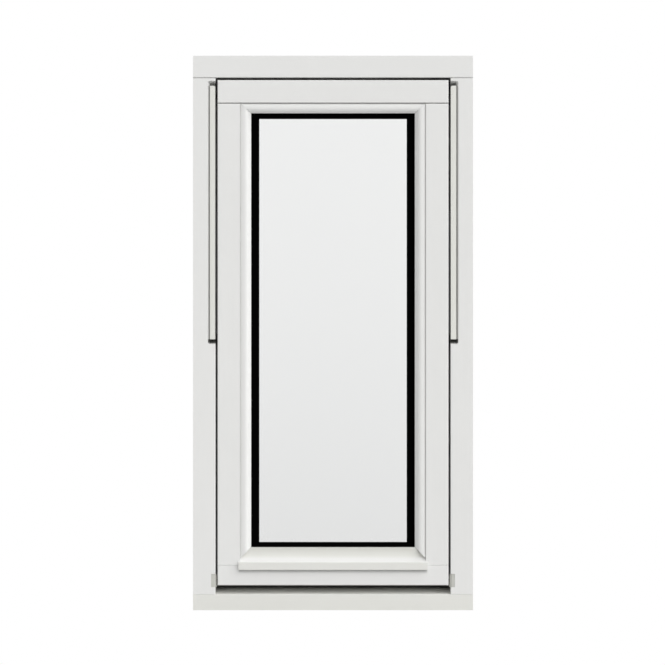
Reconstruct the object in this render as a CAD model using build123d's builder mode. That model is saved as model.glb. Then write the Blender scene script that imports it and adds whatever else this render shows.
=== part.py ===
"""Top swing window in white painted timber.

The frame is a head and a sill that run the full width, with a jamb between them on each side.
The sash stands flush with the frame's outdoor face. Its head slides down two rails that are let
into the jambs while an arm on each side swings its foot outdoors. A sealed double glazing unit is
held from outdoors by mitred beads, with a scotia bead that carries a drip nose along the foot.

Sizes are in millimetres. X runs to the right seen from outdoors, -Y is outdoors and Z is up.
The origin is the middle of the sill's underside.
"""

import os
from math import radians, tan

from build123d import *

# Frame
frame_width = 600.0
frame_height = 1188.0
frame_depth = 115.0
jamb_face = 48.3
head_face = 47.0
sill_nose = 34.0
sill_fall = 12.0
stop_height = 14.0
arris = 2.0
head_joint = 0.9
joint_depth = 5.0

# Drip groove under the sill
sill_groove_width = 7.0
sill_groove_depth = 7.0
sill_groove_set_back = 14.0

# Frame fixing holes through the jambs
fixing_radius = 3.25
fixing_end_distance = 200.0
fixing_from_back = 21.5

# Sash and the gaps round it
side_gap = 4.3
head_gap = 5.4
foot_gap = 19.4
sash_depth = 68.0
seal_gap = 4.5
stile_face = 48.2
top_rail_face = 48.6
bottom_rail_face = 42.6
rail_joint = 1.8
foot_joint_arris = 1.5
lip_bevel = 9.0

# Weather seal between the sash and the stop
seal_width = 5.0
seal_set_in = 2.0

# Glazing beads
side_bead = 23.9
top_bead = 22.4
bead_depth = 13.0
bead_quirk = 5.3
bead_crest_drop = 1.5
bead_crest_share = 0.41
bead_edge = 1.2

# Drip bead along the foot of the glass
drip_rise = 39.2
drip_mitre_rise = 14.0
scotia_lip = 5.4
scotia_deepest = 11.5
scotia_waist = 2.0
nose_out = 7.0
nose_height = 16.6
nose_lap = 9.6
nose_overhang = 3.6
nose_round = 1.6
nose_arris = 1.4
drip_kerf = 3.0
drip_kerf_set_back = 2.2

# Double glazing unit
pane = 4.0
cavity = 20.0
gasket = 3.0
gasket_set_back = 1.0
side_cover = 9.4
head_cover = 14.4
foot_cover = 15.7
edge_zone = 26.8
spacer_width = 8.0
glass_clearance = 4.0
lip_cover = 12.7

# Slide rail in its pocket in the jamb
rail_width = 11.2
rail_set_in = 1.2
rail_set_back = 2.0
rail_depth = 22.0
rail_wall = 2.0
rail_length = 543.3
rail_from_sash_top = 11.9
rail_corner = 4.0
rail_clearance = 0.3
pocket_flare = 4.7
pocket_flare_depth = 7.0
pocket_ramp = 10.4
pocket_corner = 5.0
pocket_floor_corner = 0.5

# Slide shoe and hinge arm, pinned to the sash
shoe_length = 40.0
shoe_from_rail_top = 4.0
arm_width = 14.0
arm_thickness = 2.8
arm_from_rail_foot = 19.3
pin_radius = 4.0
pin_clearance = 0.3
pin_grip = 12.0

# Guide block at the foot of each jamb
block_width = 9.4
block_height = 28.1
block_depth = 30.0
block_below_sash = 3.9
block_reach = 2.8
block_set_back = 0.8
block_shoulder = 2.5
block_step = 1.4
block_lead_in = 8.0
block_tongue = 2.2

# Handle on the indoor side of the bottom rail
handle_height = 95.0
rose_length = 66.0
rose_height = 28.0
rose_thickness = 10.0
rose_round = 2.5
neck_radius = 8.0
neck_length = 18.0
lever_length = 104.0
lever_hub_radius = 11.0
lever_tip_radius = 8.0
lever_thickness = 13.0
lever_round = 4.0

# Planes and lines that the pieces share
half_width = frame_width / 2
front = -frame_depth / 2
back = frame_depth / 2
sash_back = front + sash_depth
stop_front = sash_back + seal_gap

jamb_line = half_width - jamb_face
jamb_stop = jamb_line - stop_height
head_line = frame_height - head_face
head_stop = head_line - stop_height

sash_edge = jamb_line - side_gap
sash_top = head_line - head_gap
sash_foot = sill_nose + foot_gap
sill_stop = sash_foot + stop_height
sill_rise = sill_nose + (stop_front - front) * tan(radians(sill_fall))

bead_line = sash_edge - stile_face
top_bead_line = sash_top - top_rail_face
foot_bead_line = sash_foot + bottom_rail_face
bead_seat = front + bead_depth

sight_half = bead_line - side_bead
sight_top = top_bead_line - top_bead
sight_foot = foot_bead_line + drip_rise

glass_half = sight_half + side_cover
glass_top = sight_top + head_cover
glass_foot = sight_foot - foot_cover
glass_front = bead_seat + gasket
glass_back = glass_front + 2 * pane + cavity
lip_front = glass_back + gasket

rail_line = jamb_line + rail_set_in
rail_out = rail_line + rail_width
rail_top = sash_top - rail_from_sash_top
rail_foot = rail_top - rail_length
rail_front = front + rail_set_back
rail_back = rail_front + rail_depth
rail_middle = (rail_front + rail_back) / 2

shoe_top = rail_top - shoe_from_rail_top
shoe_pin_height = shoe_top - shoe_length / 2
arm_foot = rail_foot + arm_from_rail_foot
arm_top = (shoe_pin_height + arm_foot) / 2
arm_length = arm_top - arm_foot
pin_hole = pin_radius + pin_clearance
pin_hole_depth = pin_grip + pin_clearance

block_foot = sash_foot - block_below_sash


def across(x):
    """A section plane across the window: its own x is Z, its own y is Y, and it faces -X."""
    return Plane(origin=(x, 0, 0), x_dir=(0, 0, 1), z_dir=(-1, 0, 0))


def upright(y):
    """A plane seen from outdoors: its own x is X, its own y is Z, and it faces outdoors."""
    return Plane.XZ.offset(-y)


def sideways(x, y, z):
    """A plane that faces +X, with its own x along Y and its own y along Z."""
    return Plane(origin=(x, y, z), x_dir=(0, 1, 0), z_dir=(1, 0, 0))


def frame_outline(outer, line, stop):
    """Corners of a head or jamb section: the face beside the sash, then the stop behind it."""
    return [
        (outer, front),
        (line, front),
        (line, stop_front),
        (stop, stop_front),
        (stop, back),
        (outer, back),
    ]


def sash_outline(edge, line, glass_edge, outward):
    """Corners of a rail or stile section: bead seat, glass rebate and bevelled indoor lip.

    outward is 1 where the sash's edge lies above or to the right of its glass, and -1 otherwise.
    """
    rebate = glass_edge + outward * glass_clearance
    lip = glass_edge - outward * lip_cover
    return [
        (edge, front),
        (line, front),
        (line, bead_seat),
        (rebate, bead_seat),
        (rebate, lip_front),
        (lip, lip_front),
        (lip, sash_back - lip_bevel),
        (lip + outward * lip_bevel, sash_back),
        (edge, sash_back),
    ]


def rectangle_points(x0, x1, z0, z1):
    """Corners of an upright rectangle."""
    return [(x0, z0), (x1, z0), (x1, z1), (x0, z1)]


def ring(half, foot, top, width, y0, y1):
    """A rectangular ring with its outside at half, foot and top, from y0 to y1."""
    with BuildPart() as piece:
        with BuildSketch(upright(y1)):
            Polygon(*rectangle_points(-half, half, foot, top), align=None)
            inner = half - width
            Polygon(
                *rectangle_points(-inner, inner, foot + width, top - width),
                align=None,
                mode=Mode.SUBTRACT,
            )
        extrude(amount=y1 - y0)
    return piece.part


def sheet(half, foot, top, y0, y1):
    """A flat rectangular sheet from y0 to y1."""
    with BuildPart() as piece:
        with BuildSketch(upright(y1)):
            Polygon(*rectangle_points(-half, half, foot, top), align=None)
        extrude(amount=y1 - y0)
    return piece.part


def glazing_bead(plane, outer, inner, length, mitred_outline):
    """An ovolo bead with a quirk at its outer edge, cut to a mitred outline seen from outdoors."""
    crest = outer + (inner - outer) * bead_crest_share
    with BuildPart() as piece:
        with BuildSketch(plane):
            with BuildLine():
                ovolo = ThreePointArc(
                    (outer, front + bead_quirk),
                    (crest, front + bead_crest_drop),
                    (inner, bead_seat - bead_edge),
                )
                Polyline(ovolo @ 1, (inner, bead_seat), (outer, bead_seat), ovolo @ 0)
            make_face()
        extrude(amount=length)
        with BuildSketch(Plane.XZ):
            Polygon(*mitred_outline, align=None)
        extrude(amount=frame_depth, both=True, mode=Mode.INTERSECT)
    return piece.part


def mirrored(part):
    """The same piece on the other side of the window."""
    with BuildPart() as twin:
        mirror(part, about=Plane.YZ)
    return twin.part


head_outline = frame_outline(frame_height, head_line, head_stop)
sill_outline = [
    (0, front),
    (sill_nose, front),
    (sill_rise, stop_front),
    (sill_stop, stop_front),
    (sill_stop, back),
    (0, back),
]
top_rail_outline = sash_outline(sash_top, top_bead_line, glass_top, 1)
bottom_rail_outline = sash_outline(sash_foot, foot_bead_line, glass_foot, -1)

# Head of the frame
with BuildPart() as frame_head:
    with BuildSketch(across(half_width)):
        Polygon(*head_outline, align=None)
    extrude(amount=frame_width)
    fillet(frame_head.faces().sort_by(Axis.Y)[0].edges().sort_by(Axis.Z)[:1], arris)

# Sill with a weathered top and a drip groove below
with BuildPart() as frame_sill:
    with BuildSketch(across(half_width)):
        Polygon(*sill_outline, align=None)
        groove_front = front + sill_groove_set_back
        groove_back = groove_front + sill_groove_width
        Polygon(
            *rectangle_points(0, sill_groove_depth, groove_front, groove_back),
            align=None,
            mode=Mode.SUBTRACT,
        )
    extrude(amount=frame_width)
    fillet(frame_sill.faces().sort_by(Axis.Y)[0].edges().sort_by(Axis.Z)[-1:], arris)

# Pocket for the slide rail: ramped ends, and an outer wall that is flared near the face
pocket_open = jamb_line - side_gap / 2
with BuildPart() as pocket:
    with BuildSketch(upright(front)) as mouth:
        Polygon(
            *rectangle_points(
                pocket_open, rail_out + pocket_flare, rail_foot - pocket_ramp, rail_top + pocket_ramp
            ),
            align=None,
        )
        fillet(mouth.vertices().group_by(Axis.X)[-1], pocket_corner)
    flare_ramp = pocket_ramp + (rail_clearance - pocket_ramp) * pocket_flare_depth / (rail_back - front)
    with BuildSketch(upright(front + pocket_flare_depth)) as waist:
        Polygon(
            *rectangle_points(
                pocket_open, rail_out + rail_clearance, rail_foot - flare_ramp, rail_top + flare_ramp
            ),
            align=None,
        )
        fillet(waist.vertices().group_by(Axis.X)[-1], pocket_floor_corner)
    with BuildSketch(upright(rail_back)) as floor:
        Polygon(
            *rectangle_points(
                pocket_open,
                rail_out + rail_clearance,
                rail_foot - rail_clearance,
                rail_top + rail_clearance,
            ),
            align=None,
        )
        fillet(floor.vertices().group_by(Axis.X)[-1], pocket_floor_corner)
    loft(ruled=True)

# Jamb, scribed to the head and the sill, with a fine groove under the head, the pocket, the block's
# notch and the fixing holes
with BuildPart() as right_jamb:
    with BuildSketch(Plane.XY):
        Polygon(*frame_outline(half_width, jamb_line, jamb_stop), align=None)
    extrude(amount=frame_height)
    with BuildSketch(across(half_width)):
        Polygon(*head_outline, align=None)
        Polygon(*sill_outline, align=None)
    extrude(amount=frame_width / 2, mode=Mode.SUBTRACT)
    with BuildSketch(upright(front + joint_depth)):
        Polygon(
            *rectangle_points(jamb_stop, half_width, head_line - head_joint, head_line), align=None
        )
    extrude(amount=joint_depth, mode=Mode.SUBTRACT)
    fillet(right_jamb.faces().sort_by(Axis.Y)[0].edges().sort_by(Axis.X)[:1], arris)
    add(pocket.part, mode=Mode.SUBTRACT)
    with BuildSketch(upright(front + block_depth)):
        Polygon(
            *rectangle_points(
                jamb_line - block_reach, jamb_line + block_width, block_foot, block_foot + block_height
            ),
            align=None,
        )
    extrude(amount=block_depth, mode=Mode.SUBTRACT)
    with Locations(
        Location(sideways(half_width, back - fixing_from_back, fixing_end_distance)),
        Location(sideways(half_width, back - fixing_from_back, frame_height - fixing_end_distance)),
    ):
        Hole(fixing_radius)

# Top rail of the sash, bored at each end for the pin of the slide shoe
with BuildPart() as sash_top_rail:
    with BuildSketch(across(sash_edge)):
        Polygon(*top_rail_outline, align=None)
    extrude(amount=2 * sash_edge)
    fillet(sash_top_rail.faces().sort_by(Axis.Y)[0].edges(), arris)
    for hole_end in (-sash_edge, sash_edge - pin_hole_depth):
        with BuildSketch(sideways(hole_end, rail_middle, shoe_pin_height)):
            Circle(pin_hole)
        extrude(amount=pin_hole_depth, mode=Mode.SUBTRACT)

# Bottom rail of the sash: its upper front edge is a finer joint than its other front edges
with BuildPart() as sash_bottom_rail:
    with BuildSketch(across(sash_edge)):
        Polygon(*bottom_rail_outline, align=None)
    extrude(amount=2 * sash_edge)
    rail_face_edges = sash_bottom_rail.faces().sort_by(Axis.Y)[0].edges()
    fillet(rail_face_edges.sort_by(Axis.Z)[:-1], arris)
    joint_edge = sash_bottom_rail.faces().sort_by(Axis.Y)[0].edges().sort_by(Axis.Z)[-1:]
    fillet(joint_edge, foot_joint_arris)

# Stile of the sash, scribed to both rails, with a groove under the top rail and a bore for the
# pin of the hinge arm
with BuildPart() as sash_right_stile:
    with BuildSketch(Plane.XY.offset(sash_foot)):
        Polygon(*sash_outline(sash_edge, bead_line, glass_half, 1), align=None)
    extrude(amount=sash_top - sash_foot)
    with BuildSketch(across(half_width)):
        Polygon(*top_rail_outline, align=None)
        Polygon(*bottom_rail_outline, align=None)
    extrude(amount=frame_width / 2, mode=Mode.SUBTRACT)
    with BuildSketch(upright(front + joint_depth)):
        Polygon(
            *rectangle_points(bead_line, sash_edge, top_bead_line - rail_joint, top_bead_line),
            align=None,
        )
    extrude(amount=joint_depth, mode=Mode.SUBTRACT)
    stile_face_edges = sash_right_stile.faces().sort_by(Axis.Y)[0].edges()
    fillet(stile_face_edges.sort_by(Axis.X)[-1:] + stile_face_edges.sort_by(Axis.Z)[-1:], arris)
    fillet(
        sash_right_stile.faces().sort_by(Axis.Y)[0].edges().sort_by(Axis.Z)[:1], foot_joint_arris
    )
    with Locations(Location(sideways(sash_edge, rail_middle, arm_top))):
        Hole(pin_hole, depth=pin_hole_depth)

# Glazing beads, mitred to each other at the head and to the drip bead at the foot
mitre_foot = foot_bead_line + drip_mitre_rise
top_glazing_bead = glazing_bead(
    across(bead_line),
    top_bead_line,
    sight_top,
    2 * bead_line,
    [
        (-bead_line, top_bead_line),
        (-sight_half, sight_top),
        (sight_half, sight_top),
        (bead_line, top_bead_line),
    ],
)
right_glazing_bead = glazing_bead(
    Plane.XY,
    bead_line,
    sight_half,
    frame_height,
    [
        (bead_line, mitre_foot),
        (bead_line, top_bead_line),
        (sight_half, sight_top),
        (sight_half, sight_foot),
    ],
)

# Drip bead: a scotia that runs out from the glass to a square nose with a kerf below
nose_foot = foot_bead_line - nose_lap
nose_top = nose_foot + nose_height
nose_half = bead_line + nose_overhang
mitre_end = mitre_foot - nose_overhang * (sight_foot - mitre_foot) / side_bead
with BuildPart() as bottom_drip_bead:
    with BuildSketch(across(nose_half)) as drip_section:
        with BuildLine():
            scotia = ThreePointArc(
                (sight_foot, bead_seat - scotia_lip),
                (sight_foot - scotia_deepest, bead_seat - scotia_waist),
                (nose_top, front - nose_out + nose_round),
            )
            Polyline(
                scotia @ 1,
                (nose_top, front - nose_out),
                (nose_foot, front - nose_out),
                (nose_foot, front),
                (foot_bead_line, front),
                (foot_bead_line, bead_seat),
                (sight_foot, bead_seat),
                scotia @ 0,
            )
        make_face()
        fillet(drip_section.vertices().group_by(Axis.Y)[0].sort_by(Axis.X)[-1:], nose_arris)
        kerf_front = front - nose_out + drip_kerf_set_back
        Polygon(
            *rectangle_points(nose_foot, nose_foot + drip_kerf, kerf_front, kerf_front + drip_kerf),
            align=None,
            mode=Mode.SUBTRACT,
        )
    extrude(amount=2 * nose_half)
    with BuildSketch(Plane.XZ):
        Polygon(
            (-nose_half, nose_foot),
            (nose_half, nose_foot),
            (nose_half, mitre_end),
            (sight_half, sight_foot),
            (-sight_half, sight_foot),
            (-nose_half, mitre_end),
            align=None,
        )
    extrude(amount=frame_depth, both=True, mode=Mode.INTERSECT)
    with BuildSketch(upright(bead_seat)):
        for end in (-nose_half, nose_half):
            inner_end = end * bead_line / nose_half
            Polygon(
                *rectangle_points(min(end, inner_end), max(end, inner_end), nose_foot, mitre_foot),
                align=None,
            )
    extrude(amount=bead_depth, mode=Mode.SUBTRACT)

# Double glazing unit between its gaskets
outer_pane = sheet(glass_half, glass_foot, glass_top, glass_front, glass_front + pane)
inner_pane = sheet(glass_half, glass_foot, glass_top, glass_back - pane, glass_back)
seal_zone = edge_zone - spacer_width
glass_edge_seal = ring(
    glass_half, glass_foot, glass_top, seal_zone, glass_front + pane, glass_back - pane
)
glass_spacer = ring(
    glass_half - seal_zone,
    glass_foot + seal_zone,
    glass_top - seal_zone,
    spacer_width,
    glass_front + pane,
    glass_back - pane,
)
outer_gasket = ring(
    glass_half, glass_foot, glass_top, side_cover - gasket_set_back, bead_seat, glass_front
)
inner_gasket = ring(
    glass_half, glass_foot, glass_top, lip_cover - gasket_set_back, glass_back, lip_front
)

# Weather seal between the sash's indoor face and the stop
weather_seal = ring(
    sash_edge - seal_set_in,
    sash_foot + seal_set_in,
    sash_top - seal_set_in,
    seal_width,
    sash_back,
    stop_front,
)

# Slide rail: a channel that opens towards the sash
with BuildPart() as right_slide_rail:
    with BuildSketch(Plane.XY.offset(rail_foot)):
        Polygon(*rectangle_points(rail_line, rail_out, rail_front, rail_back), align=None)
        Polygon(
            *rectangle_points(
                rail_line, rail_out - rail_wall, rail_front + rail_wall, rail_back - rail_wall
            ),
            align=None,
            mode=Mode.SUBTRACT,
        )
    extrude(amount=rail_length)
    flange_edges = right_slide_rail.edges().filter_by(Axis.Y).group_by(Axis.Z)[-1]
    fillet(flange_edges.group_by(Axis.X)[0], rail_corner)
    with Locations(Location(sideways(rail_out, rail_middle, arm_foot))):
        Hole(pin_hole, depth=rail_wall)

# Slide shoe in the rail, with a pin into the end of the top rail
shoe_inner = rail_line + rail_clearance
shoe_half_depth = rail_depth / 2 - rail_wall - rail_clearance
with BuildPart() as right_slide_shoe:
    with BuildSketch(Plane.XY.offset(shoe_top - shoe_length)):
        Polygon(
            *rectangle_points(
                shoe_inner,
                rail_out - rail_wall - rail_clearance,
                rail_middle - shoe_half_depth,
                rail_middle + shoe_half_depth,
            ),
            align=None,
        )
    extrude(amount=shoe_length)
    with BuildSketch(sideways(sash_edge - pin_grip, rail_middle, shoe_pin_height)):
        Circle(pin_radius)
    extrude(amount=shoe_inner - sash_edge + pin_grip)

# Hinge arm in the gap, pinned to the rail at its foot and to the stile at its head
arm_inner = sash_edge + (side_gap - arm_thickness) / 2
with BuildPart() as right_hinge_arm:
    with BuildSketch(sideways(arm_inner, rail_middle, (arm_top + arm_foot) / 2)):
        SlotCenterToCenter(arm_length, arm_width, rotation=90)
    extrude(amount=arm_thickness)
    with BuildSketch(sideways(sash_edge - pin_grip, rail_middle, arm_top)):
        Circle(pin_radius)
    extrude(amount=arm_inner - sash_edge + pin_grip)
    with BuildSketch(sideways(arm_inner + arm_thickness, rail_middle, arm_foot)):
        Circle(pin_radius)
    extrude(amount=rail_out - arm_inner - arm_thickness)

# Guide block in its notch: a shouldered front, and a tongue with a lead-in beside the sash
block_out = jamb_line + block_width
block_nose = jamb_line - block_reach
block_front = front + block_set_back
with BuildPart() as right_guide_block:
    with BuildSketch(Plane.XY.offset(block_foot)):
        Polygon(
            (block_out, block_front),
            (jamb_line + block_shoulder, block_front),
            (jamb_line + block_shoulder, block_front + block_step),
            (block_nose + block_tongue, block_front + block_step),
            (block_nose + block_tongue, block_front + block_lead_in - block_tongue),
            (block_nose, block_front + block_lead_in),
            (block_nose, front + block_depth),
            (block_out, front + block_depth),
            align=None,
        )
    extrude(amount=block_height)

# Handle: an oblong rose and a tapered lever on a round neck
rose_plane = Plane(origin=(0, sash_back, handle_height), x_dir=(1, 0, 0), z_dir=(0, 1, 0))
with BuildPart() as handle_rose:
    with BuildSketch(rose_plane):
        SlotOverall(rose_length, rose_height)
    extrude(amount=rose_thickness)
    fillet(handle_rose.faces().sort_by(Axis.Y)[-1].edges(), rose_round)

with BuildPart() as handle_lever:
    with BuildSketch(rose_plane.offset(rose_thickness + neck_length)):
        Circle(lever_hub_radius)
        with Locations((lever_length, 0)):
            Circle(lever_tip_radius)
        make_hull()
    extrude(amount=lever_thickness)
    lever_edges = handle_lever.edges().group_by(Axis.Y)
    fillet(lever_edges[0] + lever_edges[-1], lever_round)
    with BuildSketch(rose_plane.offset(rose_thickness)):
        Circle(neck_radius)
    extrude(amount=neck_length + lever_thickness / 2)

pieces = {
    "frame_head": frame_head.part,
    "frame_sill": frame_sill.part,
    "sash_top_rail": sash_top_rail.part,
    "sash_bottom_rail": sash_bottom_rail.part,
    "top_glazing_bead": top_glazing_bead,
    "bottom_drip_bead": bottom_drip_bead.part,
    "outer_pane": outer_pane,
    "inner_pane": inner_pane,
    "glass_spacer": glass_spacer,
    "glass_edge_seal": glass_edge_seal,
    "outer_gasket": outer_gasket,
    "inner_gasket": inner_gasket,
    "weather_seal": weather_seal,
    "handle_rose": handle_rose.part,
    "handle_lever": handle_lever.part,
}
handed_pieces = {
    "jamb": right_jamb.part,
    "sash_stile": sash_right_stile.part,
    "glazing_bead": right_glazing_bead,
    "slide_rail": right_slide_rail.part,
    "slide_shoe": right_slide_shoe.part,
    "hinge_arm": right_hinge_arm.part,
    "guide_block": right_guide_block.part,
}
for name, part in handed_pieces.items():
    pieces["right_" + name] = part
    pieces["left_" + name] = mirrored(part)

os.makedirs("parts", exist_ok=True)
for name, part in pieces.items():
    part.label = name
    export_step(part, f"parts/{name}.step")
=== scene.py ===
"""Looks of a top swing window: painted timber, beads, glazing, seals and fittings.

Metres. X runs to the right seen from outdoors, -Y is outdoors, Z is up, and the origin is the middle of the
sill's underside.
"""

import bpy
import numpy as np
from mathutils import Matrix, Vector


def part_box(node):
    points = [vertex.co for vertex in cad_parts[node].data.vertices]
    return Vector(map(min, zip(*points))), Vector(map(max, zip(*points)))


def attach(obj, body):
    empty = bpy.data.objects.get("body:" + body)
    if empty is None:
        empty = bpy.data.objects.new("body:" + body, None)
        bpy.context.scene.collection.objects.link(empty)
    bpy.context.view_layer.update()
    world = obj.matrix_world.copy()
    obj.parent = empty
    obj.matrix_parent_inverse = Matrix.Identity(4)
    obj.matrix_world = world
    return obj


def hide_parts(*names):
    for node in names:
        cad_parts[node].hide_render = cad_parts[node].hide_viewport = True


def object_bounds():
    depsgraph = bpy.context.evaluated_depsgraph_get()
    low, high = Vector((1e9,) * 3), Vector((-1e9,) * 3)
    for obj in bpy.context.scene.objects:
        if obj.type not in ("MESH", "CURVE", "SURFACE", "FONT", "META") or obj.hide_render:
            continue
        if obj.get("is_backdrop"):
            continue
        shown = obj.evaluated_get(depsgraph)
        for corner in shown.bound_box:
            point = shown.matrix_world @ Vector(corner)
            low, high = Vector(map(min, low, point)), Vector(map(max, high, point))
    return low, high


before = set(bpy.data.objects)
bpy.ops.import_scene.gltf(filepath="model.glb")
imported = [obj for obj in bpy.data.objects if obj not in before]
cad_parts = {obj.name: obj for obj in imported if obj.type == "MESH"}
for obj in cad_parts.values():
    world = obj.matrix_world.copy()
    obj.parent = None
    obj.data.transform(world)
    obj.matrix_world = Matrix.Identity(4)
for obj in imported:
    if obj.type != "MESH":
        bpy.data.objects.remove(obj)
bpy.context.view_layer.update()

MM = 0.001

# Colours, as linear light

PAINT = (0.80, 0.80, 0.785)
# Darker copies of the paint as painted shade: for the sill, and for the drip bead's nose front and the
# strip along the glass
SHADED_SILL_PAINT = (0.772, 0.772, 0.733)
SHADED_DRIP_PAINT = (0.752, 0.752, 0.709)
RAIL_COAT = (0.765, 0.765, 0.718)
GREY_PLASTIC = (0.56, 0.56, 0.52)
BLACK_PLASTIC = (0.012, 0.012, 0.012)
SEAL_BLACK = (0.006, 0.006, 0.006)
SPACER_BLACK = (0.001, 0.001, 0.001)
ZINC = (0.30, 0.30, 0.31)
# Dark colour that painted shade mixes into the paint, in recesses, joints and under the nose
SHADE_TONE = (0.055, 0.055, 0.05)
SATIN = (0.62, 0.62, 0.61)
GLASS = (0.947, 0.950, 0.948)

# Light

KEY_REACH = Vector((0.433, -0.372, 0.425))
KEY_SPREAD = 1.5
AMBIENT = 0.472
BACK_REACH = Vector((-0.25, 0.36, 0.06))
BACK_SPREAD = 0.9
FLOOR_SEEN = 0.90
FLOOR_BOUNCE = 0.55
ROOM_HEAD = 0.995
ROOM_FOOT = 0.855
ROOM_CURVE = 1.6

# Painted shade, as the share of the paint that it covers

SLOPE_SHADE = 0.93
POCKET_SHADE = 0.94
RAIL_SIDE_SHADE = 0.40
RAIL_HEAD_SHADE = 0.12
NOSE_SHADOW_SHARE = 0.34
JOINT_SHADE = 0.50
NOSE_SHADE = 0.8

# Frame sizes that the painted shade follows

JAMB_LINE = 251.7 * MM
SILL_NOSE = 34.0 * MM
STOP_FRONT = 15.0 * MM
POCKET_FLARE = 5.0 * MM
POCKET_FOOT = 14.0 * MM
RAIL_JOINT = 1.9 * MM

# Stage sizes

FLOOR_HALF = 12
ROOM_BRIGHT_FROM = 1.1
ROOM_CARD = {"half": 0.6, "y": 0.2, "height": 1.7}
DARK_FLAG = {"half": 0.9, "y": -0.4, "height": 2.0}

# Picture

VIEW_WIDTH = 1.42476
VIEW_CENTRE = (-1.07 * MM, 595 * MM)
CAMERA_AWAY = 6.0


# Shader maths


class Wire:
    """A node's output. Arithmetic on wires adds Math nodes, and add() puts in any other node."""

    def __init__(self, tree, socket=None):
        self.tree = tree
        self.socket = socket

    def add(self, kind, settings=None, inputs=None, out=0):
        """Adds a node, sets its settings, feeds its inputs by name or number, and returns one output."""
        node = self.tree.nodes.new(kind)
        for key, value in (settings or {}).items():
            setattr(node, key, value)
        for key, value in (inputs or {}).items():
            if isinstance(value, Wire):
                self.tree.links.new(value.socket, node.inputs[key])
            else:
                node.inputs[key].default_value = value
        return Wire(self.tree, node.outputs[out] if len(node.outputs) else None)

    def math(self, operation, first, second):
        return self.add("ShaderNodeMath", {"operation": operation}, {0: first, 1: second})

    def __add__(self, other):
        return self.math("ADD", self, other)

    def __radd__(self, other):
        return self.math("ADD", other, self)

    def __sub__(self, other):
        return self.math("SUBTRACT", self, other)

    def __rsub__(self, other):
        return self.math("SUBTRACT", other, self)

    def __mul__(self, other):
        return self.math("MULTIPLY", self, other)

    def __rmul__(self, other):
        return self.math("MULTIPLY", other, self)

    def __pow__(self, other):
        return self.math("POWER", self, other)


def blank_material(name):
    """An empty node material, and a wire into its tree."""
    material = bpy.data.materials.new(name)
    material.use_nodes = True
    material.node_tree.nodes.clear()
    return material, Wire(material.node_tree)


def finish_surface(wire, **sockets):
    """Ends a material in one Principled surface: fixed numbers are set on it, wires are linked to it."""
    inputs = {key.replace("_", " "): value for key, value in sockets.items()}
    shader = wire.add("ShaderNodeBsdfPrincipled", None, inputs)
    wire.add("ShaderNodeOutputMaterial", None, {"Surface": shader})


def noise(wire, scale, detail=2.0, roughness=0.5):
    """Noise on Object coordinates, with scale in cells to the metre along each axis."""
    place = wire.add("ShaderNodeTexCoord", out="Object")
    stretched = wire.add("ShaderNodeVectorMath", {"operation": "MULTIPLY"}, {0: place, 1: scale})
    inputs = {"Vector": stretched, "Scale": 1.0, "Detail": detail, "Roughness": roughness}
    return wire.add("ShaderNodeTexNoise", None, inputs)


def tint(wire, share, low, high):
    """A colour between two, by a share from 0 to 1."""
    ends = [end if isinstance(end, Wire) else (*end, 1) for end in (low, high)]
    inputs = {"Factor": share, 6: ends[0], 7: ends[1]}
    return wire.add("ShaderNodeMix", {"data_type": "RGBA"}, inputs, out=2)


def bump(wire, height, strength, distance):
    """A surface normal raised by a height from 0 to 1 times a distance in metres."""
    inputs = {"Height": height, "Strength": strength, "Distance": distance}
    return wire.add("ShaderNodeBump", None, inputs)


def ramp(wire, value, start, stop):
    """A smooth step of a value, from 0 at the start to 1 at the stop."""
    inputs = {"Value": value, "From Min": start, "From Max": stop}
    return wire.add("ShaderNodeMapRange", {"interpolation_type": "SMOOTHSTEP"}, inputs)


def places(wire):
    """The three Object coordinates."""
    place = wire.add("ShaderNodeTexCoord", out="Object")
    return [wire.add("ShaderNodeSeparateXYZ", None, {0: place}, out=axis) for axis in range(3)]


def slope_shade(wire):
    """Painted shade at the back of the sill's slope, under the sash and in front of the stop."""
    x, y, z = places(wire)
    across = wire.math("ABSOLUTE", x, 0.0)
    under_sash = ramp(wire, y, STOP_FRONT - 7 * MM, STOP_FRONT - 0.2 * MM)
    before_stop = 1 - ramp(wire, y, STOP_FRONT + 0.2 * MM, STOP_FRONT + 0.8 * MM)
    between_jambs = 1 - ramp(wire, across, JAMB_LINE + 0.5 * MM, JAMB_LINE + MM)
    on_slope = ramp(wire, z, SILL_NOSE + 2 * MM, SILL_NOSE + 6 * MM)
    return SLOPE_SHADE * (under_sash * before_stop) * between_jambs * on_slope


def pocket_shade(wire):
    """Painted shade in the pocket round a slide rail, most of it below the rail's foot."""
    x, y, z = places(wire)
    depth = y - front
    across = wire.math("ABSOLUTE", x, 0.0)
    flare, foot = rail_high.x + POCKET_FLARE, rail_low.z - POCKET_FOOT
    inside = 1 - ramp(wire, across, flare, flare + MM)
    inside = inside * (1 - ramp(wire, y, rail_high.y + 0.5 * MM, rail_high.y + MM))
    inside = inside * ramp(wire, z, foot, foot + MM)
    above = ramp(wire, z, rail_high.z - MM, rail_high.z + MM)
    beside = RAIL_SIDE_SHADE - (RAIL_SIDE_SHADE - RAIL_HEAD_SHADE) * above
    beside = beside * ramp(wire, depth, -0.5 * MM, 3 * MM)
    below = ramp(wire, z, foot + 1.5 * MM, foot + 8.5 * MM)
    below = below * (1 - ramp(wire, z, rail_low.z, rail_low.z + MM))
    below = POCKET_SHADE * below * ramp(wire, depth, 0.0, 2.5 * MM)
    return inside * wire.math("MAXIMUM", beside, below)


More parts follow.
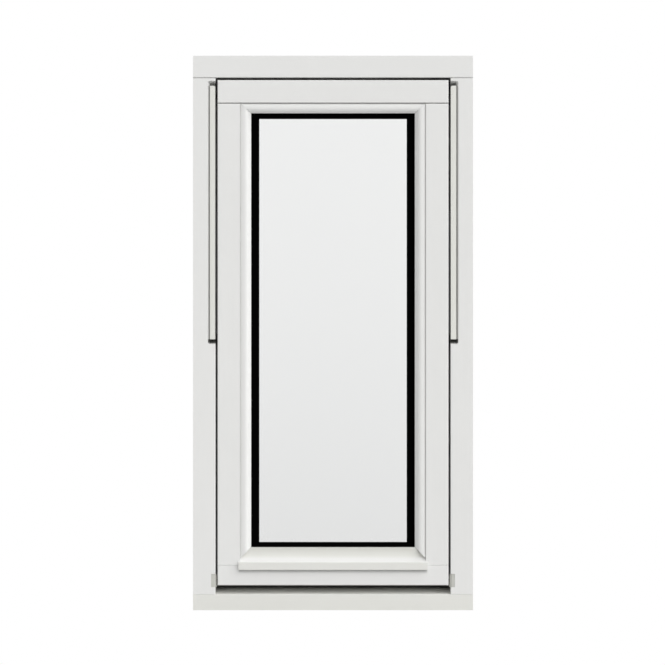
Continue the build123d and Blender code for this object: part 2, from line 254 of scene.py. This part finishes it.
def under_nose_shadow(wire):
    """A painted shadow line on the bottom rail, under the drip bead's nose."""
    x, y, z = places(wire)
    across = wire.math("ABSOLUTE", x, 0.0)
    under = ramp(wire, z, nose_foot - 9 * MM, nose_foot - MM)
    under = under * (1 - ramp(wire, z, nose_foot, nose_foot + MM))
    along = 1 - ramp(wire, across, nose_half - 3 * MM, nose_half + MM)
    on_face = 1 - ramp(wire, y, front + 0.4 * MM, front + 0.8 * MM)
    return NOSE_SHADOW_SHARE * under * along * on_face


def joint_shade(wire):
    """Painted shade in the open joint between a stile and the top rail."""
    y, z = places(wire)[1:]
    deep = ramp(wire, y, front + 0.3 * MM, front + 1.2 * MM)
    return JOINT_SHADE * deep * ramp(wire, z, joint_foot, joint_foot + 0.2 * MM)


def drip_bead_shade(wire):
    """Painted shade: darker paint on the front of the drip bead's nose, and along the glass."""
    y, z = places(wire)[1:]
    nose = NOSE_SHADE - NOSE_SHADE * ramp(wire, y, nose_front + 0.6 * MM, nose_front + 2 * MM)
    by_glass = ramp(wire, z, drip_high.z - 27 * MM, drip_high.z - 17 * MM)
    return wire.math("MAXIMUM", nose, by_glass)


def scaled(colour, share):
    """A colour made lighter or darker."""
    return tuple(share * channel for channel in colour)


def painted_timber(name, colour, along, shade_mask=None, shade_colour=SHADE_TONE):
    """Satin paint over planed timber: faint grain along the member, a fine skin, and slow tone changes."""
    material, wire = blank_material(name)
    grain = noise(wire, {"x": (7, 420, 420), "z": (420, 420, 7)}[along], 3.0, 0.6)
    skin = noise(wire, (900, 900, 900))
    slow = noise(wire, (6, 6, 6))
    tone = tint(wire, slow * 0.6 + grain * 0.4, scaled(colour, 0.97), scaled(colour, 1.03))
    # Where a shade mask is given, the tone is darkened towards a shade colour as painted shade
    if shade_mask:
        tone = tint(wire, shade_mask(wire), tone, shade_colour)
    finish_surface(
        wire,
        Base_Color=tone,
        Roughness=0.42 + 0.10 * skin + 0.06 * grain,
        Specular_IOR_Level=0.35,
        Normal=bump(wire, grain * 0.7 + skin * 0.3, 0.5, 0.0002),
    )
    return material


def powder_coat(name, colour):
    """Powder coat on aluminium: a fine orange peel."""
    material, wire = blank_material(name)
    peel = noise(wire, (1400, 1400, 1400))
    slow = noise(wire, (30, 30, 8))
    finish_surface(
        wire,
        Base_Color=tint(wire, slow, scaled(colour, 0.98), scaled(colour, 1.02)),
        Roughness=0.42 + 0.12 * peel,
        Normal=bump(wire, peel, 0.3, 0.00008),
    )
    return material


def moulded_plastic(name, colour):
    """Spark-textured moulded plastic."""
    material, wire = blank_material(name)
    spark = noise(wire, (2200, 2200, 2200), 3.0, 0.7)
    slow = noise(wire, (60, 60, 60))
    finish_surface(
        wire,
        Base_Color=tint(wire, slow, scaled(colour, 0.95), scaled(colour, 1.05)),
        Roughness=0.46 + 0.16 * spark,
        Normal=bump(wire, spark, 0.4, 0.00006),
    )
    return material


def matt_black(name, colour, shine):
    """Extruded rubber or sealant: matt, with a faint bloom."""
    material, wire = blank_material(name)
    fine = noise(wire, (1600, 1600, 1600))
    bloom = noise(wire, (40, 40, 40), 3.0)
    finish_surface(
        wire,
        Base_Color=tint(wire, bloom, colour, scaled(colour, 1.8)),
        Roughness=0.62 + 0.2 * fine,
        Specular_IOR_Level=shine,
        Normal=bump(wire, fine, 0.3, 0.00006),
    )
    return material


def brushed_metal(name, colour, scale, roughness):
    """Brushed or drawn metal: long fine scratches along one axis."""
    material, wire = blank_material(name)
    scratch = noise(wire, scale, 3.0, 0.6)
    slow = noise(wire, (50, 50, 50))
    finish_surface(
        wire,
        Base_Color=tint(wire, slow, scaled(colour, 0.92), scaled(colour, 1.04)),
        Metallic=1.0,
        Roughness=roughness + 0.14 * scratch,
        Normal=bump(wire, scratch, 0.2, 0.00004),
    )
    return material


def window_glass(name, colour):
    """Clear float glass with the faintest roll in its surface."""
    material, wire = blank_material(name)
    roll = noise(wire, (9, 9, 5), 1.0)
    finish_surface(
        wire,
        Base_Color=(*colour, 1),
        Roughness=0.0,
        IOR=1.5,
        Transmission_Weight=1.0,
        Normal=bump(wire, roll, 0.05, 0.0002),
    )
    return material


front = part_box("right_sash_stile")[0].y
joint_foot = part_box("right_sash_stile")[1].z - RAIL_JOINT
rail_low, rail_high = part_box("right_slide_rail")
drip_low, drip_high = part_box("bottom_drip_bead")
nose_foot, nose_half, nose_front = drip_low.z, drip_high.x, drip_low.y

paint_upright = painted_timber("paint_on_uprights", PAINT, "z")
# The stiles' paint carries painted shade deep in the open joint by the top rail
paint_stile = painted_timber("paint_on_stiles", PAINT, "z", joint_shade)
# The jambs' paint carries painted shade in the slide rail pockets
paint_jamb = painted_timber("paint_on_jambs", PAINT, "z", pocket_shade)
paint_across = painted_timber("paint_on_rails", PAINT, "x")
# The bottom rail's paint carries a painted shadow under the drip bead's nose
paint_bottom = painted_timber("paint_on_bottom_rail", PAINT, "x", under_nose_shadow)
# The drip bead's paint carries painted shade on its nose front and along the glass
paint_drip = painted_timber("paint_on_drip_bead", PAINT, "x", drip_bead_shade, SHADED_DRIP_PAINT)
# The sill's paint is a darker copy of the paint as painted shade, with more painted shade at the back of
# its slope
paint_sill = painted_timber("paint_on_sill", SHADED_SILL_PAINT, "x", slope_shade)
rail_coat = powder_coat("rail_powder_coat", RAIL_COAT)
grey_moulding = moulded_plastic("grey_moulding", GREY_PLASTIC)
black_moulding = moulded_plastic("black_moulding", BLACK_PLASTIC)
seal_rubber = matt_black("seal_rubber", SEAL_BLACK, 0.4)
spacer_black = matt_black("spacer_black", SPACER_BLACK, 0.05)
zinc = brushed_metal("zinc_plate", ZINC, (1500, 1500, 60), 0.34)
satin = brushed_metal("satin_aluminium", SATIN, (60, 1500, 1500), 0.28)
glass = window_glass("window_glass", GLASS)

finishes = {
    paint_jamb: ("left_jamb", "right_jamb"),
    paint_stile: ("left_sash_stile", "right_sash_stile"),
    paint_across: ("frame_head", "sash_top_rail"),
    paint_bottom: ("sash_bottom_rail",),
    paint_sill: ("frame_sill",),
    glass: ("outer_pane", "inner_pane"),
    spacer_black: ("glass_spacer", "glass_edge_seal"),
    black_moulding: ("left_slide_shoe", "right_slide_shoe"),
    zinc: ("left_hinge_arm", "right_hinge_arm"),
    satin: ("handle_rose", "handle_lever"),
}
for material, nodes in finishes.items():
    for node in nodes:
        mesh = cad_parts[node].data
        mesh.materials.clear()
        mesh.materials.append(material)
for node in finishes[glass]:
    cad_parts[node].visible_shadow = False


# Shapes


def outward(points, faces):
    """A closed shell with its faces turned outwards.

    The enclosed volume is a sixth of the sum of a . (b x c) over the faces, cut into fans of triangles
    (a, b, c), and a shell whose volume is negative has its faces reversed.
    """
    fans = np.array([(face[0], *pair) for face in faces for pair in zip(face[1:-1], face[2:])])
    a, b, c = points[fans[:, 0]], points[fans[:, 1]], points[fans[:, 2]]
    inside_out = np.sum(a * np.cross(b, c)) < 0
    return points, [face[::-1] for face in faces] if inside_out else faces


def shell_run(section, near, far, along):
    """A closed section carried along a straight line, with its own start and end for each corner.

    Corner j of the section is (across, depth). The surface is P(t, j) = near_j + t (far_j - near_j) along
    the line for t = 0 and 1, and a flat cap closes each end.
    """
    count = len(section)
    ends = np.stack([near, far])
    across = np.broadcast_to(section[:, 0], ends.shape)
    depth = np.broadcast_to(section[:, 1], ends.shape)
    axes = {"x": (ends, depth, across), "z": (across, depth, ends)}[along]
    points = np.stack(axes, axis=-1).reshape(-1, 3)
    here = np.arange(count)
    after = (here + 1) % count
    sides = np.stack([here, after, after + count, here + count], axis=1).tolist()
    return outward(points, sides + [here[::-1].tolist(), (here + count).tolist()])


def walled_run(outside, inside, near, far):
    """A thin wall carried upwards: two lines of equal count give its section, and quads close its ends.

    The surface is P(t, j) = near + t (far_j - near) upwards for t = 0 and 1, where j runs along the outside
    line and back along the inside line.
    """
    count = len(outside)
    section = np.concatenate([outside, inside[::-1]])
    reach = np.concatenate([far, far[::-1]])
    points, faces = shell_run(section, np.full(2 * count, near), reach, "z")
    here = np.arange(count - 1)
    across = 2 * count - 1 - here
    cap = np.stack([here, here + 1, across - 1, across], axis=1)
    lower, upper = (cap[:, ::-1], cap) if faces[-1][0] < faces[-1][1] else (cap, cap[:, ::-1])
    return points, faces[:-2] + lower.tolist() + (upper + 2 * count).tolist()


def ring_run(section, low, high):
    """A closed section carried round an upright rectangle with mitred corners.

    Corner j of the section is (inset, depth), and corner i of the rectangle has the signs (sx, sz), so
    P(i, j) = rectangle corner_i - inset_j (sx_i, sz_i).
    """
    inset, depth = section.T
    x = np.stack([low.x + inset, high.x - inset, high.x - inset, low.x + inset])
    z = np.stack([low.z + inset, low.z + inset, high.z - inset, high.z - inset])
    points = np.stack([x, np.broadcast_to(depth, x.shape), z], axis=-1).reshape(-1, 3)
    rows, columns = x.shape
    i, j = np.meshgrid(np.arange(rows), np.arange(columns), indexing="ij")
    i_after, j_after = (i + 1) % rows, (j + 1) % columns
    corners = (i * columns + j, i_after * columns + j, i_after * columns + j_after, i * columns + j_after)
    return outward(points, np.stack(corners, axis=-1).reshape(-1, 4).tolist())


def joined(*shells):
    """Several shells as one set of points and faces."""
    points, faces, start = [], [], 0
    for shell_points, shell_faces in shells:
        points.append(shell_points)
        faces += [[corner + start for corner in face] for face in shell_faces]
        start += len(shell_points)
    return np.concatenate(points), faces


def mirrored(shell):
    """The same shell on the other side of the window."""
    points, faces = shell
    return points * (-1, 1, 1), [face[::-1] for face in faces]


def piece(name, shell, material, slot, *stands_for):
    """A mesh piece at the origin, smooth apart from its sharp edges, that stands for some CAD nodes."""
    points, faces = shell
    mesh = bpy.data.meshes.new(name)
    mesh.from_pydata(points.tolist(), [], faces)
    mesh.polygons.foreach_set("use_smooth", np.ones(len(mesh.polygons), dtype=bool))
    mesh.set_sharp_from_angle(angle=np.radians(30))
    mesh.materials.append(material)
    made = bpy.data.objects.new(name, mesh)
    bpy.context.scene.collection.objects.link(made)
    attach(made, "root")
    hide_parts(*stands_for)
    return made


def eased(made, width):
    """Rounds the sharp edges of a piece."""
    rounding = made.modifiers.new("eased_edges", "BEVEL")
    rounding.width = width
    rounding.segments = 3
    rounding.limit_method = "ANGLE"
    rounding.harden_normals = False


def arc_through(first, middle, last, count):
    """Points on the circle through three points, evenly turned from the first to the last past the middle.

    The centre is where the perpendicular bisectors of the two chords meet.
    """
    a, b, c = (np.array(point, dtype=float) for point in (first, middle, last))
    centre = np.linalg.solve(2 * np.array([b - a, c - a]), [b @ b - a @ a, c @ c - a @ a])
    angles = np.unwrap([np.arctan2(*(point - centre)[::-1]) for point in (a, b, c)])
    turn = np.linspace(angles[0], angles[2], count)
    return centre + np.linalg.norm(a - centre) * np.stack([np.cos(turn), np.sin(turn)], axis=1)


def arc_about(centre, radius, from_degrees, to_degrees, count):
    """Points on a circle about a centre, from one angle to another."""
    turn = np.radians(np.linspace(from_degrees, to_degrees, count))
    return np.array(centre) + radius * np.stack([np.cos(turn), np.sin(turn)], axis=1)


def line_at(value, from_value, to_value, from_place, to_place):
    """The place on a straight line for a value along it."""
    return from_place + (value - from_value) / (to_value - from_value) * (to_place - from_place)


# Glazing beads: an ovolo with a quirk, cut to mitres

BEAD_QUIRK_DROP = 4.2 * MM
BEAD_CREST_DROP = 1.5 * MM
BEAD_CREST_ROUND = 10.5 * MM
TOP_BEAD_GAP = 1.4 * MM
BEAD_CREST_SHARE = 0.41
BEAD_EDGE = 1.2 * MM
MITRE_GAP = 0.35 * MM

side_low, side_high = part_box("right_glazing_bead")
top_low, top_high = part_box("top_glazing_bead")
sight_half, bead_line, bead_seat = side_low.x, side_high.x, side_high.y
sight_top, bead_top = top_low.z, top_high.z
sight_foot, mitre_foot = drip_high.z, side_low.z


def ovolo(outer, inner):
    """The bead's section: a quarter ellipse from the quirk to the crest, a smaller arc over the crest that
    runs into a straight slope to the glass, then a flat back.

    With u from 1 to 0, the ellipse is (crest - u a, crest depth + b (1 - sqrt(1 - u u))). The slope leaves
    the crest's arc at the angle where the straight line meets the glass side.
    """
    across = inner - outer
    crest, peak = outer + across * BEAD_CREST_SHARE, front + BEAD_CREST_DROP
    turn = np.linspace(np.pi / 2, 0, 17)[:, None]
    flank = (crest, peak + BEAD_QUIRK_DROP) - np.hstack(
        [(crest - outer) * np.sin(turn), BEAD_QUIRK_DROP * np.cos(turn)]
    )
    run, fall = abs(inner - crest), bead_seat - BEAD_EDGE - peak
    reach = np.hypot(run, fall - BEAD_CREST_ROUND)
    lean = np.arctan2(run, BEAD_CREST_ROUND - fall) - np.arccos(BEAD_CREST_ROUND / reach)
    turn = np.linspace(0, lean, 9)[1:, None]
    brow = (crest, peak) + BEAD_CREST_ROUND * np.hstack([np.sign(across) * np.sin(turn), 1 - np.cos(turn)])
    end = [(inner, bead_seat - BEAD_EDGE), (inner, bead_seat), (outer, bead_seat)]
    return np.concatenate([flank, brow, end])


side_section = ovolo(bead_line, sight_half)
side_bead = shell_run(
    side_section,
    line_at(side_section[:, 0], bead_line, sight_half, mitre_foot, sight_foot) + MITRE_GAP,
    line_at(side_section[:, 0], bead_line, sight_half, bead_top, sight_top) - MITRE_GAP,
    "z",
)
piece("bead_right", side_bead, paint_upright, "white_painted_timber", "right_glazing_bead")
piece("bead_left", mirrored(side_bead), paint_upright, "white_painted_timber", "left_glazing_bead")

top_section = ovolo(bead_top - TOP_BEAD_GAP, sight_top)
top_ends = line_at(top_section[:, 0], bead_top, sight_top, bead_line, sight_half)
top_bead = shell_run(top_section, -top_ends, top_ends, "x")
piece("bead_top", top_bead, paint_across, "white_painted_timber", "top_glazing_bead")

# Drip bead: a scotia from the glass out to a square nose, with a kerf below

BOTTOM_RAIL_FACE = 42.6 * MM
SCOTIA_LIP = 5.4 * MM
SCOTIA_DEEPEST = 11.5 * MM
SCOTIA_WAIST = 2.0 * MM
NOSE_HEIGHT = 16.6 * MM
NOSE_ROUND = 1.6 * MM
KERF = 3.0 * MM
KERF_SET_BACK = 2.2 * MM

bead_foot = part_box("sash_bottom_rail")[0].z + BOTTOM_RAIL_FACE
nose_top = nose_foot + NOSE_HEIGHT
scotia = arc_through(
    (sight_foot, bead_seat - SCOTIA_LIP),
    (sight_foot - SCOTIA_DEEPEST, bead_seat - SCOTIA_WAIST),
    (nose_top, nose_front + NOSE_ROUND),
    65,
)
behind, ahead = scotia[scotia[:, 1] > front], scotia[scotia[:, 1] < front]
crossing = [(line_at(front, behind[-1, 1], ahead[0, 1], behind[-1, 0], ahead[0, 0]), front)]
nose_edge = arc_about((nose_top - NOSE_ROUND, nose_front + NOSE_ROUND), NOSE_ROUND, 0, -90, 9)[1:]
kerf_front = nose_front + KERF_SET_BACK
nose_under = [
    (nose_foot, nose_front),
    (nose_foot, kerf_front),
    (nose_foot + KERF, kerf_front),
    (nose_foot + KERF, kerf_front + KERF),
    (nose_foot, kerf_front + KERF),
    (nose_foot, front),
]
nose_section = np.concatenate([crossing, ahead, nose_edge, nose_under])
body_back = [(bead_foot, front), (bead_foot, bead_seat), (sight_foot, bead_seat)]
body_section = np.concatenate([behind, crossing, body_back])


def drip_end(height, limit):
    """How far the drip bead reaches sideways at a height: to its mitre, and no further than a limit."""
    return np.minimum(limit, line_at(height, mitre_foot, sight_foot, bead_line, sight_half))


nose_ends = drip_end(nose_section[:, 0], nose_half)
body_ends = drip_end(body_section[:, 0], bead_line)
drip_bead = joined(
    shell_run(nose_section, -nose_ends, nose_ends, "x"),
    shell_run(body_section, -body_ends, body_ends, "x"),
)
piece("drip_bead", drip_bead, paint_drip, "white_painted_timber", "bottom_drip_bead")

# Slide rails: a thin channel that opens towards the sash, with a rounded corner at its head

RAIL_WALL = 2.0 * MM
RAIL_CORNER = 4.0 * MM
RAIL_EDGE = 0.8 * MM
RAIL_INNER_EDGE = 0.3 * MM
RAIL_LIP = 0.6 * MM

tip = arc_about((RAIL_CORNER, RAIL_CORNER), RAIL_CORNER, 180, 90, 13)


def channel(wall, edge):
    """One line of the channel's section, a wall in from its outside, from its front tip to its back tip."""
    front_y, back_y, outer = rail_low.y + wall, rail_high.y - wall, rail_high.x - wall
    lips = [
        np.stack([rail_low.x - RAIL_LIP + tip[:, 0], np.full(len(tip), y)], axis=1)
        for y in (front_y, back_y)
    ]
    bends = [
        arc_about((outer - edge, front_y + edge), edge, -90, 0, 5),
        arc_about((outer - edge, back_y - edge), edge, 0, 90, 5),
    ]
    return np.concatenate([lips[0], *bends, lips[1][::-1]])


rail_outside, rail_inside = channel(0, RAIL_EDGE), channel(RAIL_WALL, RAIL_INNER_EDGE)
rail_tops = np.full(len(rail_outside), rail_high.z)
rail_tops[: len(tip)] += tip[:, 1] - 2 * RAIL_CORNER
rail_tops[-len(tip) :] = rail_tops[: len(tip)][::-1]
slide_rail = walled_run(rail_outside, rail_inside, rail_low.z, rail_tops)
piece("rail_right", slide_rail, rail_coat, "coated_aluminium", "right_slide_rail")
piece("rail_left", mirrored(slide_rail), rail_coat, "coated_aluminium", "left_slide_rail")

# Guide blocks: a shouldered moulding with a tongue beside the sash

BLOCK_SHOULDER = 6.9 * MM
BLOCK_STEP = 1.4 * MM
BLOCK_TONGUE = 2.2 * MM
BLOCK_LEAD_IN = 8.0 * MM
BLOCK_EASE = 0.5 * MM

block_low, block_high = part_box("right_guide_block")
tongue = block_low.x + BLOCK_TONGUE
shoulder = block_high.x - BLOCK_SHOULDER
block_section = np.array(
    [
        (block_high.x, block_low.y),
        (shoulder, block_low.y),
        (shoulder, block_low.y + BLOCK_STEP),
        (tongue, block_low.y + BLOCK_STEP),
        (tongue, block_low.y + BLOCK_LEAD_IN - BLOCK_TONGUE),
        (block_low.x, block_low.y + BLOCK_LEAD_IN),
        (block_low.x, block_high.y),
        (block_high.x, block_high.y),
    ]
)
block_ends = (np.full(len(block_section), block_low.z), np.full(len(block_section), block_high.z))
guide_block = shell_run(block_section, *block_ends, "z")
for side, shell in (("right", guide_block), ("left", mirrored(guide_block))):
    eased(piece("block_" + side, shell, grey_moulding, "grey_plastic", side + "_guide_block"), BLOCK_EASE)

# Seals: flat gaskets with a round lip on both sides of the glass, and a bulb between sash and stop


def lipped(low, high, reach):
    """A gasket's section: a flat strip whose inner edge is a half round."""
    radius = (high.y - low.y) / 2
    lip = arc_about((reach - radius, low.y + radius), radius, -90, 90, 9)
    return np.concatenate([[(0, low.y)], lip, [(0, high.y)]])


GASKET_REACH = {"outer_gasket": 8.4 * MM, "inner_gasket": 11.7 * MM}
for node, reach in GASKET_REACH.items():
    low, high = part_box(node)
    shell = ring_run(lipped(low, high, reach), low, high)
    piece(node.replace("gasket", "glazing_seal"), shell, seal_rubber, "black_rubber", node)

SEAL_WIDTH = 5.0 * MM
SEAL_FOOT = 1.0 * MM
seal_low, seal_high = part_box("weather_seal")
bulb = arc_about((0.5, 0), 0.5, 180, 0, 17) * (SEAL_WIDTH, 2 * (seal_high.y - seal_low.y - SEAL_FOOT))
bulb += (0, seal_low.y + SEAL_FOOT)
bulb_section = np.concatenate([[(0, seal_low.y)], bulb, [(SEAL_WIDTH, seal_low.y)]])
piece("bulb_seal", ring_run(bulb_section, seal_low, seal_high), seal_rubber, "black_rubber", "weather_seal")


# Stage


def upright_corners(half, y, height):
    """The corners of a card that stands on the floor, across the window."""
    return [(-half, y, 0), (half, y, 0), (half, y, height), (-half, y, height)]


def stage_plane(name, corners, material):
    """A flat quad from four corners."""
    mesh = bpy.data.meshes.new(name)
    mesh.from_pydata(corners, [], [(0, 1, 2, 3)])
    mesh.materials.append(material)
    plane = bpy.data.objects.new(name, mesh)
    bpy.context.scene.collection.objects.link(plane)
    plane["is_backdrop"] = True
    return plane


def seen_by(plane, *kinds):
    """Leaves a stage plane visible only to some kinds of ray."""
    for kind in ("camera", "diffuse", "glossy", "transmission", "volume_scatter", "shadow"):
        setattr(plane, "visible_" + kind, kind in kinds)


def seen(wire):
    """1 for what the camera sees, straight, mirrored or through glass, and 0 for light that spreads."""
    kinds = ("Is Camera Ray", "Is Glossy Ray", "Is Transmission Ray")
    camera, glossy, transmission = (wire.add("ShaderNodeLightPath", out=kind) for kind in kinds)
    return wire.math("MAXIMUM", wire.math("MAXIMUM", camera, glossy), transmission)


floor_material, wire = blank_material("pale_floor")
floor_tone = tint(wire, seen(wire), (FLOOR_BOUNCE,) * 3, (FLOOR_SEEN,) * 3)
finish_surface(wire, Base_Color=floor_tone, Roughness=0.8)
floor_corners = [(x * FLOOR_HALF, y * FLOOR_HALF, 0) for x, y in ((-1, -1), (1, -1), (1, 1), (-1, 1))]
stage_plane("floor", floor_corners, floor_material)

room_material, wire = blank_material("room_beyond")
height = places(wire)[2]
below_head = wire.add(
    "ShaderNodeMath", {"operation": "SUBTRACT", "use_clamp": True}, {0: ROOM_BRIGHT_FROM, 1: height}
)
room_tone = tint(wire, below_head**ROOM_CURVE, (ROOM_HEAD,) * 3, (ROOM_FOOT,) * 3)
finish_surface(
    wire,
    Base_Color=(0, 0, 0, 1),
    Specular_IOR_Level=0.0,
    Emission_Color=room_tone,
    Emission_Strength=1.0,
)
room = stage_plane("room_beyond", upright_corners(**ROOM_CARD), room_material)
seen_by(room, "transmission")

flag_material, wire = blank_material("dark_flag")
finish_surface(wire, Base_Color=(0, 0, 0, 1), Roughness=1.0, Specular_IOR_Level=0.0)
flag = stage_plane("dark_flag", upright_corners(**DARK_FLAG), flag_material)
seen_by(flag, "glossy")


def soft_sun(name, reach, spread):
    """A wide sun that lies towards reach, whose length is what it adds to a face turned to it."""
    sun = bpy.data.lights.new(name, "SUN")
    sun.energy = np.pi * reach.length * 2 / (1 + np.cos(spread / 2))
    sun.angle = spread
    lamp = bpy.data.objects.new(name, sun)
    bpy.context.scene.collection.objects.link(lamp)
    lamp.rotation_mode = "QUATERNION"
    lamp.rotation_quaternion = reach.to_track_quat("Z", "Y")


soft_sun("key", KEY_REACH, KEY_SPREAD)
soft_sun("light_behind", BACK_REACH, BACK_SPREAD)

world = bpy.data.worlds.new("studio")
bpy.context.scene.world = world
world.use_nodes = True
world.node_tree.nodes.clear()
wire = Wire(world.node_tree)
sky_strength = AMBIENT + (1 - AMBIENT) * seen(wire)
sky = wire.add("ShaderNodeBackground", None, {"Color": (1, 1, 1, 1), "Strength": sky_strength})
wire.add("ShaderNodeOutputWorld", None, {"Surface": sky})

camera_data = bpy.data.cameras.new("camera")
camera_data.type = "ORTHO"
camera_data.ortho_scale = VIEW_WIDTH
camera = bpy.data.objects.new("camera", camera_data)
bpy.context.scene.collection.objects.link(camera)
camera.location = (VIEW_CENTRE[0], -CAMERA_AWAY, VIEW_CENTRE[1])
camera.rotation_euler = (np.pi / 2, 0, 0)
bpy.context.scene.camera = camera
bpy.context.scene.view_settings.view_transform = "Standard"

low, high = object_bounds()
